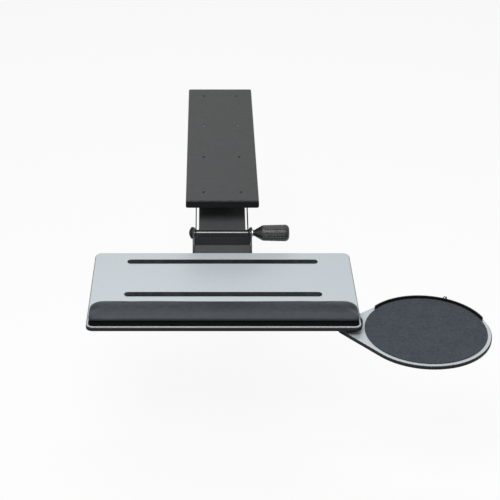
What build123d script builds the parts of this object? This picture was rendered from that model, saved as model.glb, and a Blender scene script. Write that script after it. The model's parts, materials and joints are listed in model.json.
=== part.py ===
from build123d import *
import os
from math import acos, asin, atan2, cos, hypot, radians, sin

os.makedirs("parts", exist_ok=True)

# A keyboard tray that hangs from a track under a desk, as it stands in use:
# drawn part of the way out, the arm near the top of its travel, the platform level
# and the round mouse tray swung out to the right.
# Millimetres and degrees. The origin is the centre of the screw pattern, on the face
# of the track that meets the desk. X is to the right, Y to the back of the desk, Z up.

# Fits shared by all pieces
overrun = 2.0  # how far a cutting shape runs past the face it cuts
gap = 0.3  # between faces that pass each other
running = 0.05  # radial play of a pin in its hole

# Track: a steel channel with its open side down and its lips turned in
track_length = 552.0
track_width = 140.0
track_height = 14.5
track_sheet = 2.0
track_lip = 20.0
track_bend = 3.5
screw_hole_radius = 2.75
screw_column_spacing = 72.0
outer_screw_row_spacing = 480.0
inner_screw_row_spacing = 160.0
stop_face = 4.0
stop_plug = 10.0
stop_edge = 1.2

# Carriage: a pressed plate on four glide shoes inside the track
carriage_length = 120.0
carriage_width = 124.0
carriage_sheet = 2.5
screw_head_room = 4.0
shoe_length = 28.0
shoe_grip = 9.7
shoe_round = 2.5
shoe_bevel = 1.0
dish_mouth_radius = 44.0
dish_floor_radius = 38.0
dish_proud = 1.0
carriage_rest_y = -42.0  # along the track, where the tray stands at rest
carriage_bend = 8.0

# Swivel: a hollow rivet that carries the swivel bracket
rivet_radius = 8.0
rivet_bore_radius = 5.0
rivet_head_radius = 14.0
rivet_head = 2.0
washer_radius = 34.0
washer_thickness = 0.8
swivel_sheet = 2.5
swivel_outer_half = 48.5
axle_ahead = 38.0  # the rear axle stands this far in front of the swivel
ear_front = 14.0
ear_foot_radius = 9.0

# Arm: a steel channel between the rear axle and the front tube
arm_length = 200.0
arm_slope = 11.0  # below level, at rest
arm_half_width = 45.0
arm_sheet = 2.5
arm_edge = 1.0
arm_rear_radius = 12.0
arm_front_radius = 6.5
arm_web_start = 14.0  # the top web begins this far in front of the rear axle
axle_radius = 5.0
axle_over = 2.5
clip_radius = 8.0
clip_thickness = 1.2
bush_radius = 6.5
bush_flange_radius = 8.5
tube_radius = 6.25
tube_half_length = 49.5

# Side links: they keep the tray level while the arm swings
link_drop = 24.0  # the link pivots stand this far under the arm's
link_half_height = 7.0
link_thickness = 2.0
link_pin_radius = 3.0
link_pin_head_radius = 6.0
link_pin_head = 1.8
collar_radius = 5.0
collar_length = 1.3

# Pivot head: a steel bracket that stays level and carries the tray
head_thickness = 2.2
head_top_radius = 10.5
head_foot_radius = 8.0
head_web_front = 11.0
head_web_top = 3.0
head_web_foot = 28.0
head_bush_radius = 8.0

# Clamp: one rod through the whole pivot, with a cap nut and a ribbed knob
rod_radius = 4.0
cap_length = 7.0
cap_radius = 11.5
cap_dome = 5.0
cap_groove_radius = 7.5
cap_groove_width = 1.2
cap_groove = 0.7
knob_washer_radius = 9.0
knob_washer_thickness = 1.4
knob_length = 70.5
knob_radius = 16.3
knob_neck_radius = 5.8
knob_neck_length = 3.0
knob_cone_length = 16.0
knob_neck_blend = 2.0
knob_shoulder_blend = 14.0
knob_round = 8.0
knob_taper = 1.2  # the grip is this much slimmer where it leaves the cone
knob_dimple_radius = 6.0
knob_dimple = 0.9
rod_in_knob = 34.0
insert_radius = 6.5
insert_length = 24.0
insert_depth = 8.0
flute_count = 22
flute_radius = 1.7
flute_depth = 0.9

# Tray bracket: a pressed steel bracket screwed under the platform
bracket_sheet = 2.5
bracket_ear_radius = 11.5
bracket_foot_radius = 7.5
bracket_foot_behind = 10.5  # the foot of the ear stands this far behind the platform
bracket_reach = 120.0
bracket_rim = 8.0
bracket_web_height = 14.0
bracket_web_lean = 12.0
bracket_screw_radius = 2.0
bracket_screw_head_radius = 4.2
bracket_screw_head = 2.2
bracket_screw_bite = 4.0
bracket_screw_column_spacing = 80.0
bracket_screw_row_shares = (0.16, 0.5, 0.84)

# Platform: a silver sheet on a black board
platform_width = 483.0
platform_depth = 270.0
platform_sheet = 3.0
platform_board = 5.0
board_proud = 1.0
platform_corner = 11.0
platform_edge = 1.4
board_edge = 1.6
tube_above_platform = 22.0
tube_behind_platform = 40.0

# Palm rest: a black base strip with a soft crowned pad on it
palm_depth = 66.0
palm_front_margin = 4.0
palm_side_margin = 1.5
palm_base_height = 6.0
palm_pad_height = 13.5
palm_front_corner = 9.0
palm_back_corner = 32.0
palm_base_inset = 1.5
palm_crown_shares = ((0.0, 0.08), (0.28, 0.0), (0.58, 0.09), (0.82, 0.36), (0.95, 0.8), (1.0, 1.4))

# Grip strips: rubber strips that keep the keyboard from sliding
strip_length = 360.0
strip_width = 14.0
strip_thickness = 1.2
strip_place_shares = (0.42, 0.87)

# Mouse tray: a teardrop board on a pivot under the corner of the platform
pivot_from_right = 15.6
pivot_from_front = 36.5
boss_radius = 21.0
boss_height = 11.7
spigot_radius = 8.0
pivot_screw_radius = 3.0
pivot_screw_head_radius = 5.6
pivot_screw_head = 3.6
pivot_screw_bite = 3.5
pivot_washer_radius = 14.0
pivot_washer_thickness = 1.5
mouse_reach = 132.6
mouse_heading = -6.5  # from +X, at rest
mouse_rim_radius = 114.5
mouse_neck_radius = 22.7
mouse_sheet = 2.0
mouse_board = 5.0
mouse_board_proud = 1.0
mouse_edge = 1.2
pad_radius = 107.95
pad_thickness = 2.2
pad_edge = 0.8
fence_inner_radius = 109.2
fence_thickness = 2.6
fence_height = 6.5
fence_foot = 2.0
fence_flare = 0.4
fence_start_angle = 24.8  # from the tray's own axis
fence_end_angle = 144.3
clip_angle = 70.9
ring_outer_radius = 3.5
ring_inner_radius = 2.1
ring_rise = 0.8  # the middle of the ring stands this far over the fence
ring_width = 4.0
ring_mouth = 1.4


def flat_slot(start, start_radius, end, end_radius):
    """The outline round two circles, as a face: straight tangents and an arc at each end."""
    across, up = end[0] - start[0], end[1] - start[1]
    heading = atan2(up, across)
    spread = acos((start_radius - end_radius) / hypot(across, up))

    def on(centre, radius, angle):
        return (centre[0] + radius * cos(angle), centre[1] + radius * sin(angle))

    first = on(start, start_radius, heading + spread)
    second = on(end, end_radius, heading + spread)
    third = on(end, end_radius, heading - spread)
    fourth = on(start, start_radius, heading - spread)
    outline = [
        Line(first, second),
        ThreePointArc(second, on(end, end_radius, heading), third),
        Line(third, fourth),
        ThreePointArc(fourth, on(start, -start_radius, heading), first),
    ]
    return make_face(Wire(outline))


def across(face, near, far):
    """A face drawn in Y and Z, made solid from X = near to X = far."""
    return extrude(Plane.YZ.offset(near) * face, amount=far - near)


def both_sides(face, near, far):
    """The same plate on the right and on the left."""
    right = across(face, near, far)
    return right + mirror(right, about=Plane.YZ)


def rod(centre, radius, near, far):
    """A round bar along X."""
    return across(Pos(*centre) * Circle(radius), near, far)


def ring(centre, radius, bore, near, far):
    return rod(centre, radius, near, far) - rod(centre, bore, near - overrun, far + overrun)


def slab(outline, bottom, top):
    """A face drawn in X and Y, made solid between two heights."""
    return extrude(Plane.XY.offset(bottom) * outline, amount=top - bottom)


def disc(x, y, radius, bottom, top):
    return slab(Pos(x, y) * Circle(radius), bottom, top)


# Heights through the carriage and the swivel, from the desk down
lip_top = -(track_height - track_sheet)
plate_top = -(track_sheet + screw_head_room)
plate_bottom = plate_top - carriage_sheet
dish_bottom = -(track_height + dish_proud)
washer_bottom = dish_bottom - washer_thickness
swivel_top = washer_bottom - gap
swivel_bottom = swivel_top - swivel_sheet
ear_inner_half = swivel_outer_half - swivel_sheet

# Pivots, as places in Y and Z
rear_pivot = (carriage_rest_y - axle_ahead, swivel_bottom - arm_rear_radius - 3 * gap)
front_pivot = (
    rear_pivot[0] - arm_length * cos(radians(arm_slope)),
    rear_pivot[1] - arm_length * sin(radians(arm_slope)),
)
rear_link_pivot = (rear_pivot[0], rear_pivot[1] - link_drop)
front_link_pivot = (front_pivot[0], front_pivot[1] - link_drop)

# Places across the front pivot, from the middle out
link_inner = tube_half_length + gap
link_outer = link_inner + link_thickness
head_inner = link_outer + gap
head_outer = head_inner + head_thickness
bracket_inner = head_outer + gap
bracket_outer = bracket_inner + bracket_sheet
knob_start = bracket_outer + knob_washer_thickness + gap

# The platform, under and in front of the front pivot
platform_top_z = front_pivot[1] - tube_above_platform
board_top = platform_top_z - platform_sheet
board_bottom = board_top - platform_board
platform_back = front_pivot[0] - tube_behind_platform
platform_front = platform_back - platform_depth
platform_middle = (platform_front + platform_back) / 2
bracket_bottom = board_bottom - bracket_sheet

# The mouse tray, round its pivot
pivot_x = platform_width / 2 - pivot_from_right
pivot_y = platform_front + pivot_from_front
boss_bottom = board_bottom - boss_height
mouse_top = boss_bottom - gap
mouse_board_top = mouse_top - mouse_sheet
mouse_bottom = mouse_board_top - mouse_board
mouse_x = pivot_x + mouse_reach * cos(radians(mouse_heading))
mouse_y = pivot_y + mouse_reach * sin(radians(mouse_heading))

pieces = {}


# Track

def track_rail():
    outside = RectangleRounded(track_width, track_height, track_bend)
    inner_width = track_width - 2 * track_sheet
    inner_height = track_height - 2 * track_sheet
    inside = RectangleRounded(inner_width, inner_height, track_bend - track_sheet)
    slot_width = track_width - 2 * track_lip
    slot = Pos(0, -track_height / 2) * Rectangle(slot_width, 2 * track_sheet + overrun)
    section = Pos(0, -track_height / 2) * (outside - inside - slot)
    rail = extrude(Plane.XZ * section, amount=track_length / 2, both=True)
    for row in (outer_screw_row_spacing, inner_screw_row_spacing):
        for x in (-screw_column_spacing / 2, screw_column_spacing / 2):
            for y in (-row / 2, row / 2):
                rail -= disc(x, y, screw_hole_radius, -track_sheet - overrun, overrun)
    return rail


def track_stop(end):
    """A moulded cap over one end of the track, with a plug that closes the channel."""
    face_shape = RectangleRounded(track_width, track_height, track_bend)
    plug_shape = RectangleRounded(
        track_width - 2 * track_sheet, track_height - 2 * track_sheet, track_bend - track_sheet
    )
    centre = -track_height / 2
    face = extrude(Plane.XZ * Pos(0, centre) * face_shape, amount=stop_face)
    face = chamfer(face.faces().sort_by(Axis.Y)[0].edges(), stop_edge)
    plug = extrude(Plane.XZ * Pos(0, centre) * plug_shape, amount=-stop_plug)
    stop = Pos(0, -track_length / 2) * (face + plug)
    return stop if end == "front" else mirror(stop, about=Plane.XZ)


pieces["track_rail"] = track_rail()
pieces["front_stop"] = track_stop("front")
pieces["rear_stop"] = track_stop("rear")


# Carriage

def carriage_plate():
    plate = slab(
        RectangleRounded(carriage_width, carriage_length, carriage_bend), plate_bottom, plate_top
    )
    mouth = dish_mouth_radius - carriage_sheet
    plate -= Cylinder(mouth, 4 * track_height)
    floor_top = dish_bottom + carriage_sheet
    section = Polyline(
        (rivet_radius, dish_bottom),
        (dish_floor_radius, dish_bottom),
        (dish_mouth_radius, plate_bottom),
        (dish_mouth_radius, plate_top),
        (mouth, plate_top),
        (dish_floor_radius - carriage_sheet / 2, floor_top),
        (rivet_radius, floor_top),
        close=True,
    )
    dish = revolve(Plane.XZ * make_face(section), axis=Axis.Z)
    return Pos(0, carriage_rest_y) * (plate + dish)


def glide_shoes():
    """Four moulded shoes that hold the edges of the plate and slide in the channel."""
    outer = track_width / 2 - track_sheet - gap
    inner = carriage_width / 2 - shoe_grip
    top = -track_sheet - gap
    bottom = lip_top + gap
    along = (carriage_length - shoe_length) / 2
    shoes = None
    for side in (-1, 1):
        for y in (-along, along):
            x = side * (inner + outer) / 2
            shape = RectangleRounded(outer - inner, shoe_length, shoe_round)
            shoe = slab(Pos(x, y) * shape, bottom, top)
            faces = shoe.faces().sort_by(Axis.Z)
            shoe = chamfer(faces[0].edges() + faces[-1].edges(), shoe_bevel)
            shoes = shoe if shoes is None else shoes + shoe
    plate = RectangleRounded(carriage_width, carriage_length, carriage_bend)
    return Pos(0, carriage_rest_y) * (shoes - slab(plate, plate_bottom, plate_top))


def swivel_washer():
    washer = Circle(washer_radius) - Circle(rivet_radius)
    return slab(Pos(0, carriage_rest_y) * washer, washer_bottom, dish_bottom)


def swivel_rivet():
    """A hollow rivet: one head in the dish, one under the swivel bracket."""
    floor_top = dish_bottom + carriage_sheet
    head_top = floor_top + rivet_head
    low = swivel_bottom - gap
    section = Polyline(
        (rivet_bore_radius, head_top),
        (rivet_head_radius, head_top),
        (rivet_head_radius, floor_top),
        (rivet_radius, floor_top),
        (rivet_radius, low),
        (rivet_head_radius, low),
        (rivet_head_radius, low - rivet_head),
        (rivet_bore_radius, low - rivet_head),
        close=True,
    )
    return Pos(0, carriage_rest_y) * revolve(Plane.XZ * make_face(section), axis=Axis.Z)


pieces["carriage_plate"] = carriage_plate()
pieces["glide_shoes"] = glide_shoes()
pieces["swivel_washer"] = swivel_washer()
pieces["swivel_rivet"] = swivel_rivet()


# Swivel bracket and its pins

def swivel_bracket():
    front = rear_pivot[0] - ear_front
    length = carriage_rest_y - front
    middle = Pos(0, (carriage_rest_y + front) / 2)
    outline = middle * Rectangle(2 * swivel_outer_half, length)
    outline += Pos(0, carriage_rest_y) * Circle(swivel_outer_half)
    plate = slab(outline, swivel_bottom, swivel_top)
    plate -= disc(
        0, carriage_rest_y, rivet_radius + running, swivel_bottom - overrun, swivel_top + overrun
    )
    foot = rear_link_pivot
    ear = make_face(
        Polyline(
            (front, swivel_top),
            (carriage_rest_y, swivel_top),
            (foot[0] + ear_foot_radius, foot[1]),
            (foot[0] - ear_foot_radius, foot[1]),
            close=True,
        )
    )
    ear += Pos(*foot) * Circle(ear_foot_radius)
    ear -= Pos(*rear_pivot) * Circle(axle_radius)
    ear -= Pos(*foot) * Circle(link_pin_radius)
    return plate + both_sides(ear, ear_inner_half, swivel_outer_half)


def rear_axle():
    half = swivel_outer_half + axle_over
    return rod(rear_pivot, axle_radius, -half, half)


def axle_clips():
    right = ring(
        rear_pivot,
        clip_radius,
        axle_radius,
        swivel_outer_half,
        swivel_outer_half + clip_thickness,
    )
    return right + mirror(right, about=Plane.YZ)


def link_pins():
    head = link_outer + gap
    pin = rod(rear_link_pivot, link_pin_radius, ear_inner_half, head)
    pin += rod(rear_link_pivot, link_pin_head_radius, head, head + link_pin_head)
    return pin + mirror(pin, about=Plane.YZ)


pieces["swivel_bracket"] = swivel_bracket()
pieces["rear_axle"] = rear_axle()
pieces["axle_clips"] = axle_clips()
pieces["link_pins"] = link_pins()


# Arm, drawn along its own line with the rear axle at the origin and the front at -Y

arm_place = Plane(
    origin=(0, rear_pivot[0], rear_pivot[1]),
    x_dir=(1, 0, 0),
    z_dir=(0, -sin(radians(arm_slope)), cos(radians(arm_slope))),
)


def arm_channel():
    side = flat_slot((0, 0), arm_rear_radius, (-arm_length, 0), arm_front_radius)
    inner_half = arm_half_width - arm_sheet
    block = across(side, -arm_half_width, arm_half_width)
    flanks = block.faces().sort_by(Axis.X)
    block = fillet(flanks[0].edges() + flanks[-1].edges(), arm_edge)
    block -= across(Pos(0, -arm_sheet) * side, -inner_half, inner_half)
    rear_room = arm_rear_radius + overrun
    block -= across(
        Pos((rear_room - arm_web_start) / 2, 0)
        * Rectangle(arm_web_start + rear_room, 2 * rear_room),
        -inner_half,
        inner_half,
    )
    front_room = 2 * (arm_front_radius + overrun)
    block -= across(
        Pos(-arm_length - front_room / 2, 0) * Rectangle(front_room, front_room),
        -arm_half_width - overrun,
        arm_half_width + overrun,
    )
    reach = arm_half_width + overrun
    block -= rod((-arm_length, 0), tube_radius, -reach, reach)
    block -= rod((0, 0), bush_radius, -reach, reach)
    return arm_place * block


def front_tube():
    bore = rod_radius + 2 * running
    return ring(front_pivot, tube_radius, bore, -tube_half_length, tube_half_length)


def rear_bushes():
    bore = axle_radius + running
    right = ring(
        rear_pivot, bush_radius, bore, arm_half_width - arm_sheet, arm_half_width
    )
    right += ring(
        rear_pivot, bush_flange_radius, bore, arm_half_width, ear_inner_half - gap
    )
    return right + mirror(right, about=Plane.YZ)


pieces["arm_channel"] = arm_channel()
pieces["front_tube"] = front_tube()
pieces["rear_bushes"] = rear_bushes()


# Side links

def side_link(side):
    bar = flat_slot(rear_link_pivot, link_half_height, front_link_pivot, link_half_height)
    bar -= Pos(*rear_link_pivot) * Circle(link_pin_radius + running)
    bar -= Pos(*front_link_pivot) * Circle(link_pin_radius + gap)
    link = across(bar, link_inner, link_outer)
    return link if side == "right" else mirror(link, about=Plane.YZ)


pieces["link_right"] = side_link("right")
pieces["link_left"] = side_link("left")


# Pivot head

def pivot_head():
    """Two cheeks and a web, folded from one sheet, that hang on the clamp rod."""
    cheek = flat_slot(front_pivot, head_top_radius, front_link_pivot, head_foot_radius)
    web_height = head_web_foot - head_web_top
    web_middle = front_pivot[1] - (head_web_foot + head_web_top) / 2
    fold = Pos(front_pivot[0] - head_web_front / 2, web_middle)
    cheek += fold * Rectangle(head_web_front, web_height)
    cheek -= Pos(*front_pivot) * Circle(rod_radius + running)
    cheek -= Pos(*front_link_pivot) * Circle(link_pin_radius)
    web_place = Pos(front_pivot[0] - head_web_front + head_thickness / 2, web_middle)
    web = across(web_place * Rectangle(head_thickness, web_height), -head_inner, head_inner)
    return both_sides(cheek, head_inner, head_outer) + web


def head_bushes():
    right = ring(front_pivot, head_bush_radius, rod_radius + running, link_inner, head_inner)
    return right + mirror(right, about=Plane.YZ)


def link_axle():
    axle = rod(front_link_pivot, link_pin_radius, -head_outer, head_outer)
    collar = rod(
        front_link_pivot, collar_radius, link_inner - gap - collar_length, link_inner - gap
    )
    return axle + collar + mirror(collar, about=Plane.YZ)


pieces["pivot_head"] = pivot_head()
pieces["head_bushes"] = head_bushes()
pieces["link_axle"] = link_axle()


# Clamp rod, cap nut and knob

def clamp_rod():
    return rod(front_pivot, rod_radius, -bracket_outer - cap_dome, knob_start + rod_in_knob)


def cap_nut():
    """A domed nut on the left end of the rod, with a shallow ring groove in the dome."""
    flank = cap_length - cap_dome
    ball = (cap_radius**2 + cap_dome**2) / (2 * cap_dome)
    half_turn = asin(cap_radius / ball) / 2
    midway = (ball - cap_length - ball * cos(half_turn), ball * sin(half_turn))
    section = make_face(
        Wire(
            [
                Line((0, 0), (0, cap_radius)),
                Line((0, cap_radius), (-flank, cap_radius)),
                ThreePointArc((-flank, cap_radius), midway, (-cap_length, 0)),
                Line((-cap_length, 0), (0, 0)),
            ]
        )
    )
    nut = revolve(section, axis=Axis.X)
    dome_there = ball - cap_length - (ball**2 - cap_groove_radius**2) ** 0.5
    groove_inner = cap_groove_radius - cap_groove_width
    nut -= ring(
        (0, 0), cap_groove_radius, groove_inner, -cap_length - overrun, dome_there + cap_groove
    )
    nut = Pos(-bracket_outer, front_pivot[0], front_pivot[1]) * nut
    return nut - clamp_rod()


def knob_washer():
    far = bracket_outer + knob_washer_thickness
    return ring(front_pivot, knob_washer_radius, rod_radius, bracket_outer, far)


def clamp_knob():
    """A slim neck, a cone and a fluted grip that widens to a rounded, dimpled end."""
    grip_start = knob_neck_length + knob_cone_length
    slim_radius = knob_radius - knob_taper
    profile = FilletPolyline(
        (0, knob_neck_radius),
        (knob_neck_length, knob_neck_radius),
        (grip_start, slim_radius),
        (knob_length, knob_radius),
        (knob_length, 0),
        radius=(knob_neck_blend, knob_shoulder_blend, knob_round),
    )
    closing = [Line((knob_length, 0), (0, 0)), Line((0, 0), (0, knob_neck_radius))]
    section = make_face(Wire([*profile.edges(), *closing]))
    knob = revolve(section, axis=Axis.X)
    flank = Plane(
        origin=(grip_start, slim_radius, 0),
        x_dir=(0, 0, 1),
        z_dir=(knob_length - grip_start, knob_taper, 0),
    )
    lead = knob_cone_length / 2
    flute = extrude(
        flank.offset(-lead) * Pos(0, flute_depth - flute_radius) * Circle(flute_radius),
        amount=lead + knob_length - knob_round - grip_start,
    )
    for turn in range(flute_count):
        knob -= Rot(turn * 360 / flute_count, 0, 0) * flute
    bore = rod_radius + 2 * running
    bore_depth = rod_in_knob + overrun
    knob -= extrude(Plane.YZ.offset(-overrun) * Circle(bore), amount=bore_depth + overrun)
    knob -= extrude(
        Plane.YZ.offset(knob_length - knob_dimple) * Circle(knob_dimple_radius), amount=overrun
    )
    seat = extrude(Plane.YZ.offset(insert_depth) * Circle(insert_radius), amount=insert_length)
    return Pos(knob_start, front_pivot[0], front_pivot[1]) * (knob - seat)


def knob_insert():
    start = knob_start + insert_depth
    return ring(front_pivot, insert_radius, rod_radius + running, start, start + insert_length)


pieces["clamp_rod"] = clamp_rod()
pieces["cap_nut"] = cap_nut()
pieces["knob_washer"] = knob_washer()
pieces["clamp_knob"] = clamp_knob()
pieces["knob_insert"] = knob_insert()


# Tray bracket

def bracket_screw_places():
    spots = []
    for share in bracket_screw_row_shares:
        for x in (-bracket_screw_column_spacing / 2, bracket_screw_column_spacing / 2):
            spots.append((x, platform_back - share * bracket_reach))
    return spots


def tray_bracket():
    """A base plate with turned-down rims, ears behind the platform and a leaning web."""
    foot_y = platform_back + bracket_foot_behind
    foot = (foot_y, bracket_bottom + bracket_foot_radius)
    ear = flat_slot(front_pivot, bracket_ear_radius, foot, bracket_foot_radius)
    front = platform_back - bracket_reach
    rim = make_face(
        Polyline(
            (front, board_bottom),
            (front, bracket_bottom),
            (platform_back - bracket_rim, bracket_bottom - bracket_rim),
            (foot_y, bracket_bottom - bracket_rim),
            (foot_y + bracket_foot_radius, foot[1]),
            (foot_y, foot[1]),
            (platform_back + gap, board_bottom),
            close=True,
        )
    )
    ear += rim
    ear -= Pos(*front_pivot) * Circle(rod_radius)
    plate_length = foot_y - front
    plate = slab(
        Pos(0, (foot_y + front) / 2) * Rectangle(2 * bracket_inner, plate_length),
        bracket_bottom,
        board_bottom,
    )
    lean = (bracket_web_lean, bracket_web_height)
    web = make_face(
        Polyline(
            (foot_y - bracket_sheet, board_bottom),
            (foot_y, bracket_bottom),
            (foot_y + lean[0], bracket_bottom + lean[1]),
            (foot_y + lean[0] - bracket_sheet, board_bottom + lean[1]),
            close=True,
        )
    )
    bracket = plate + both_sides(ear, bracket_inner, bracket_outer)
    bracket += across(web, -bracket_inner, bracket_inner)
    for x, y in bracket_screw_places():
        bracket -= disc(
            x, y, bracket_screw_radius, bracket_bottom - overrun, board_bottom + overrun
        )
    return bracket


def bracket_screws():
    screws = None
    low = bracket_bottom - bracket_screw_head
    for x, y in bracket_screw_places():
        screw = disc(x, y, bracket_screw_radius, bracket_bottom, board_bottom + bracket_screw_bite)
        screw += disc(x, y, bracket_screw_head_radius, low, bracket_bottom)
        screws = screw if screws is None else screws + screw
    return screws


pieces["tray_bracket"] = tray_bracket()
pieces["bracket_screws"] = bracket_screws()


# Platform

def platform_board_piece():
    outline = RectangleRounded(
        platform_width + 2 * board_proud,
        platform_depth + 2 * board_proud,
        platform_corner + board_proud,
    )
    board = slab(Pos(0, platform_middle) * outline, board_bottom, board_top)
    board = fillet(board.faces().sort_by(Axis.Z)[0].edges(), board_edge)
    board -= bracket_screws()
    bite = board_bottom + pivot_screw_bite
    return board - disc(pivot_x, pivot_y, pivot_screw_radius, board_bottom - overrun, bite)


def platform_top_piece():
    outline = RectangleRounded(platform_width, platform_depth, platform_corner)
    sheet = slab(Pos(0, platform_middle) * outline, board_top, platform_top_z)
    return fillet(sheet.faces().sort_by(Axis.Z)[-1].edges(), platform_edge)


def grip_strips():
    strips = None
    for share in strip_place_shares:
        y = platform_front + share * platform_depth
        shape = Pos(0, y) * SlotOverall(strip_length, strip_width)
        strip = slab(shape, platform_top_z, platform_top_z + strip_thickness)
        strips = strip if strips is None else strips + strip
    return strips


def palm_outline(inset):
    """The plan of the palm rest: small front corners, large back corners."""
    half = platform_width / 2 - palm_side_margin - inset
    front = platform_front + palm_front_margin + inset
    back = platform_front + palm_front_margin + palm_depth - inset
    front_round = max(palm_front_corner - inset / 2, palm_front_corner / 3)
    back_round = max(palm_back_corner - inset, palm_front_corner)
    plan = make_face(
        Polyline((-half, front), (half, front), (half, back), (-half, back), close=True)
    )
    corners = plan.vertices().sort_by(Axis.Y)
    plan = fillet(corners[:2], front_round)
    return fillet(plan.vertices().sort_by(Axis.Y)[-2:], back_round)


def palm_rest_base():
    low = platform_top_z
    return slab(palm_outline(palm_base_inset), low, low + palm_base_height)


def palm_rest_pad():
    """A crowned pad whose sides draw in to the base below and roll over at the top."""
    low = platform_top_z + palm_base_height
    sections = []
    for height_share, inset_share in palm_crown_shares:
        inset = inset_share * palm_pad_height
        place = Plane.XY.offset(low + height_share * palm_pad_height)
        sections.append(place * palm_outline(inset))
    return loft(sections)


pieces["platform_board"] = platform_board_piece()
pieces["platform_top"] = platform_top_piece()
pieces["grip_strips"] = grip_strips()
pieces["palm_rest_base"] = palm_rest_base()
pieces["palm_rest_pad"] = palm_rest_pad()


# Mouse tray

def pivot_boss():
    boss = disc(pivot_x, pivot_y, boss_radius, boss_bottom, board_bottom)
    boss += disc(pivot_x, pivot_y, spigot_radius, mouse_bottom - gap, boss_bottom)
    low = mouse_bottom - gap - overrun
    return boss - disc(pivot_x, pivot_y, pivot_screw_radius, low, board_bottom + overrun)


def pivot_washer():
    washer = Circle(pivot_washer_radius) - Circle(pivot_screw_radius)
    top = mouse_bottom - gap
    return slab(Pos(pivot_x, pivot_y) * washer, top - pivot_washer_thickness, top)


def pivot_screw():
    head_top = mouse_bottom - gap - pivot_washer_thickness
    head_bottom = head_top - pivot_screw_head
    head = disc(pivot_x, pivot_y, pivot_screw_head_radius, head_bottom, head_top)
    shank_top = board_bottom + pivot_screw_bite
    return head + disc(pivot_x, pivot_y, pivot_screw_radius, head_top, shank_top)


def mouse_outline(proud):
    plan = flat_slot(
        (pivot_x, pivot_y),
        mouse_neck_radius + proud,
        (mouse_x, mouse_y),
        mouse_rim_radius + proud,
    )
    return plan - Pos(pivot_x, pivot_y) * Circle(spigot_radius + running)


def mouse_tray_board():
    board = slab(mouse_outline(mouse_board_proud), mouse_bottom, mouse_board_top)
    rim = board.faces().sort_by(Axis.Z)[0].outer_wire()
    return fillet(rim.edges(), mouse_edge)


def mouse_tray_top():
    sheet = slab(mouse_outline(0), mouse_board_top, mouse_top)
    rim = sheet.faces().sort_by(Axis.Z)[-1].outer_wire()
    return fillet(rim.edges(), mouse_edge)


def mouse_pad():
    pad = disc(mouse_x, mouse_y, pad_radius, mouse_top, mouse_top + pad_thickness)
    return fillet(pad.faces().sort_by(Axis.Z)[-1].edges(), pad_edge)


# The fence and its clip are drawn round the middle of the pad, with the tray's axis along X
fence_place = Pos(mouse_x, mouse_y) * Rot(0, 0, mouse_heading)


def mouse_fence():
    """A curved lip behind the pad, with rounded ends and a wider foot on the tray."""
    middle = fence_inner_radius + fence_thickness / 2
    line = CenterArc((0, 0), middle, fence_start_angle, fence_end_angle - fence_start_angle)
    wall = slab(SlotArc(line, fence_thickness), mouse_top, mouse_top + fence_height)
    foot_width = fence_thickness + 2 * fence_flare
    foot = slab(SlotArc(line, foot_width), mouse_top, mouse_top + fence_foot)
    return fence_place * (wall + foot)


def cord_clip():
    """A small split ring on top of the fence, for the cord of a mouse."""
    middle = fence_inner_radius + fence_thickness / 2
    height = mouse_top + fence_height + ring_rise
    hoop = Circle(ring_outer_radius) - Circle(ring_inner_radius)
    hoop -= Pos(0, ring_outer_radius) * Rectangle(ring_mouth, 2 * ring_outer_radius)
    clip = extrude(Plane.YZ * hoop, amount=ring_width / 2, both=True)
    clip = Rot(0, 0, clip_angle) * Pos(middle, 0, height) * clip
    return fence_place * clip - mouse_fence()


pieces["pivot_boss"] = pivot_boss()
pieces["pivot_washer"] = pivot_washer()
pieces["pivot_screw"] = pivot_screw()
pieces["mouse_tray_board"] = mouse_tray_board()
pieces["mouse_tray_top"] = mouse_tray_top()
pieces["mouse_pad"] = mouse_pad()
pieces["mouse_fence"] = mouse_fence()
pieces["cord_clip"] = cord_clip()

for name, piece in pieces.items():
    export_step(piece, f"parts/{name}.step")
print(len(pieces), "pieces")
print("rear pivot", rear_pivot, "front pivot", front_pivot)
print("link pivots", rear_link_pivot, front_link_pivot)
print("mouse pivot", pivot_x, pivot_y, "platform front and top", platform_front, platform_top_z)
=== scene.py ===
# Looks of a keyboard tray that hangs from a track under a desk.
# Metres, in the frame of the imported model: X to the right, Y to the back of the desk, Z up.
import json
import math
from collections import namedtuple

import bmesh
import bpy
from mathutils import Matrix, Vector, noise


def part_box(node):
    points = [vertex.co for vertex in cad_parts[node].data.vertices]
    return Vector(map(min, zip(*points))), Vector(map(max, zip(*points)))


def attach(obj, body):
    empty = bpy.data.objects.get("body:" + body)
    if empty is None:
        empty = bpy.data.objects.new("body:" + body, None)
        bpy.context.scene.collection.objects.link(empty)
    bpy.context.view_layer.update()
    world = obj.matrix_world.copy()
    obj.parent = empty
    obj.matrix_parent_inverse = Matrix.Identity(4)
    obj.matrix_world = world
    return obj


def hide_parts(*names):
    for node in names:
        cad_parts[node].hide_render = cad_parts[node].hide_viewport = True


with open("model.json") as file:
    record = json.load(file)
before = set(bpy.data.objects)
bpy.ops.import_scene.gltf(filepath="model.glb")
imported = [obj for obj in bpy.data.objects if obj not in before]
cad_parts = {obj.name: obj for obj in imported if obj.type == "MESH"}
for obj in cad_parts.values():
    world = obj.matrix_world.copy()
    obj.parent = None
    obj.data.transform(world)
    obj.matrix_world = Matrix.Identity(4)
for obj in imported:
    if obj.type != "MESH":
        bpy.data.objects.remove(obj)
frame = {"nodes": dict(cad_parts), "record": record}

MM = 0.001
scene = bpy.context.scene
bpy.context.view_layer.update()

# Camera, as fitted to the platform, the arm and the round pad in the photograph
PICTURE = 500
FOCAL_PIXELS = 1424.5
AXIS_PIXEL_X = 206.6
CAMERA_PLACE = Vector((-30.2, -2706.0, 1224.1)) * MM
CAMERA_PITCH = math.radians(28.73)
SENSOR = 36.0

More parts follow.
